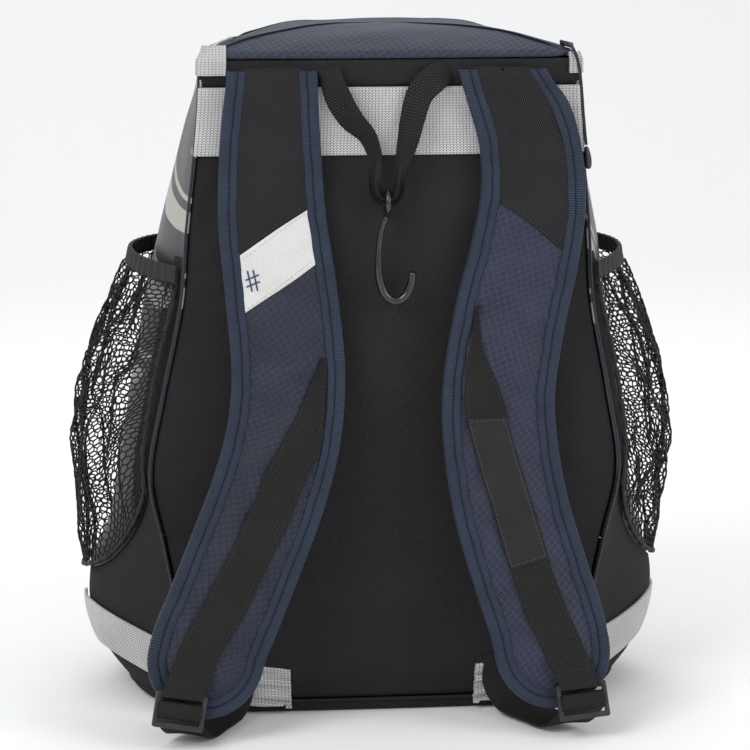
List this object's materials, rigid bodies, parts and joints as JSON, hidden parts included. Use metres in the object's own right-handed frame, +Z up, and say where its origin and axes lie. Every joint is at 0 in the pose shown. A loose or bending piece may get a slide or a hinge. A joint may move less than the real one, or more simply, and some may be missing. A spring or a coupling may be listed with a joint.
{
  "type": "baseball bat backpack",
  "caption": "Zipped sports backpack with padded shoulder straps, net bat pockets on its sides and a fence hook on a webbing loop.",
  "frame": {"origin": "middle of the base, on the face that the bag stands on", "axes": "+Z up from the base to the lid, -Y out of the back panel towards the shoulder straps, +X to the right seen from the straps"},
  "size_m": [0.3836, 0.2742, 0.429],
  "materials": {
    "navy_ripstop": "coated ripstop cloth",
    "navy_binding": "ribbed grosgrain tape",
    "black_twill": "matt twill over foam",
    "charcoal_cloth": "coated cloth with a pale pattern",
    "silver_webbing": "satin woven band",
    "black_webbing": "ribbed webbing",
    "white_patch": "smooth coated patch",
    "label_cloth": "moulded soft patch",
    "black_plastic": "moulded plastic, satin",
    "hook_plastic": "coated hook, glossy",
    "pocket_net": "knitted net",
    "zip_tape": "woven tape with a moulded coil",
    "zip_cord": "braided cord"
  },
  "bodies": {
    "bag": {"base_panel": "black_twill", "back_panel": "black_twill", "yoke_strip": "black_twill", "back_band": "silver_webbing", "lower_gusset_left": "black_twill", "lower_gusset_right": "black_twill", "side_panel_left": "charcoal_cloth", "side_panel_right": "charcoal_cloth", "top_band_left": "silver_webbing", "top_band_right": "silver_webbing", "top_band_front": "silver_webbing", "front_panel": "black_twill", "zip_tape": "zip_tape", "top_panel": "navy_ripstop", "strap_pad_left": "navy_ripstop", "strap_pad_right": "navy_ripstop", "strap_binding_left": "navy_binding", "strap_binding_right": "navy_binding", "strap_facing_left": "black_twill", "strap_facing_right": "black_twill", "number_patch": "white_patch", "strap_webbing_left": "black_webbing", "strap_webbing_right": "black_webbing", "label_patch": "label_cloth", "buckle_left": "black_plastic", "buckle_right": "black_plastic", "adjuster_webbing_left": "black_webbing", "adjuster_webbing_right": "black_webbing", "anchor_band_left": "silver_webbing", "anchor_band_right": "silver_webbing", "pocket_net_left": "pocket_net", "pocket_net_right": "pocket_net", "pocket_hem_left": "black_webbing", "pocket_hem_right": "black_webbing", "hook_loop": "black_webbing", "zip_slider": "black_plastic", "zip_cord": "zip_cord", "zip_pull": "black_plastic"},
    "hook": {"fence_hook": "hook_plastic"}
  },
  "joints": [
    {"name": "hook_swing", "type": "hinge", "parent": "bag", "child": "hook", "pos_m": [0, -0.10152, 0.32435], "axis": [-1, 0, 0], "range_deg": [-8, 110]}
  ]
}
